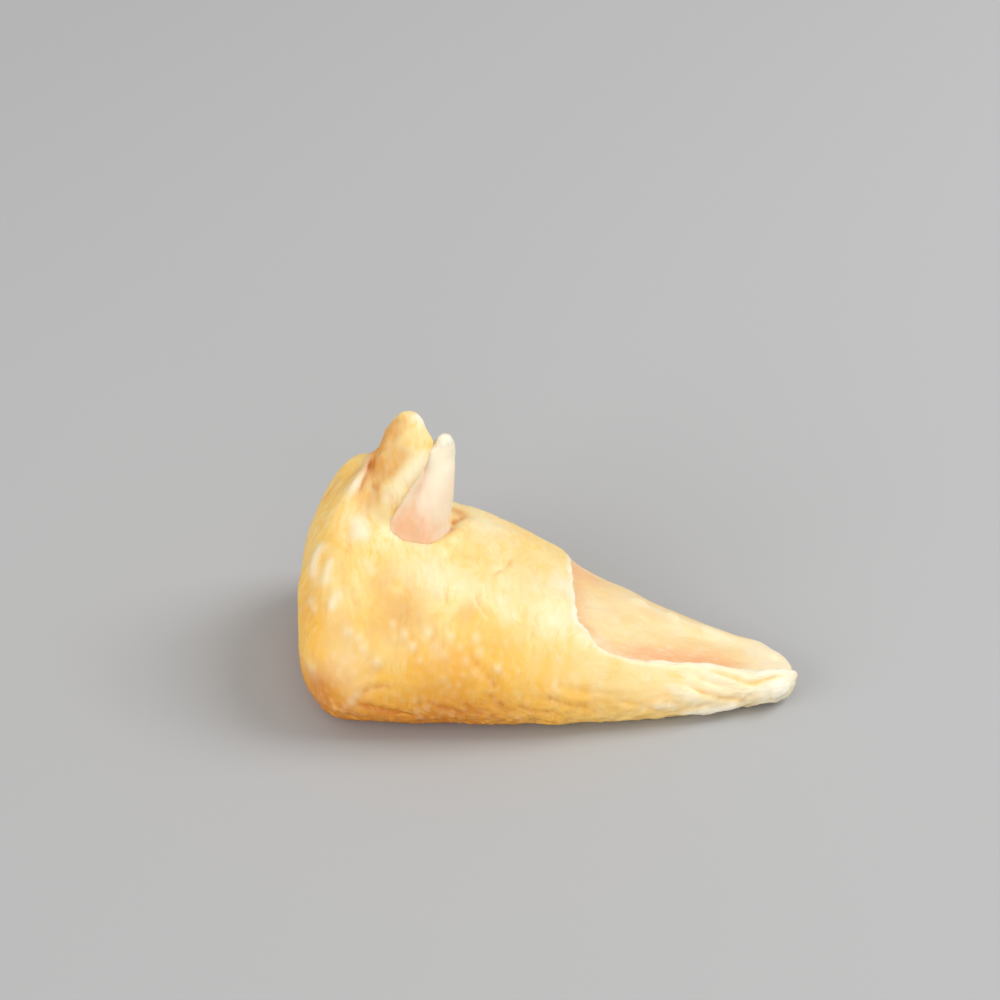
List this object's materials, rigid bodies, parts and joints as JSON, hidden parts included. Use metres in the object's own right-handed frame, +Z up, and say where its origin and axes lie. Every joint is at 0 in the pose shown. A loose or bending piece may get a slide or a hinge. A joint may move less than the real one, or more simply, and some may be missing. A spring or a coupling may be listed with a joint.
{
  "type": "chicken supreme",
  "caption": "Raw chicken breast lying flesh side down, skin on, thick at the shoulder and tapering to the tail, with the first wing joint standing up.",
  "frame": {"origin": "middle of the footprint, on the surface that the breast lies on", "axes": "+X from the shoulder end to the tail tip, +Y away from the skin-covered long edge, +Z up"},
  "size_m": [0.157, 0.0842, 0.081],
  "materials": {
    "flesh": "moist raw muscle, pale peach",
    "skin": "moist yellow poultry skin with fine bumps and folds",
    "wing_flesh": "moist raw muscle with pale fat, pinker at its foot",
    "cartilage": "smooth white cartilage on bone"
  },
  "bodies": {
    "root": {"breast": "flesh", "skin": "skin", "wing_meat": "wing_flesh", "wing_bone": "cartilage"}
  },
  "joints": []
}
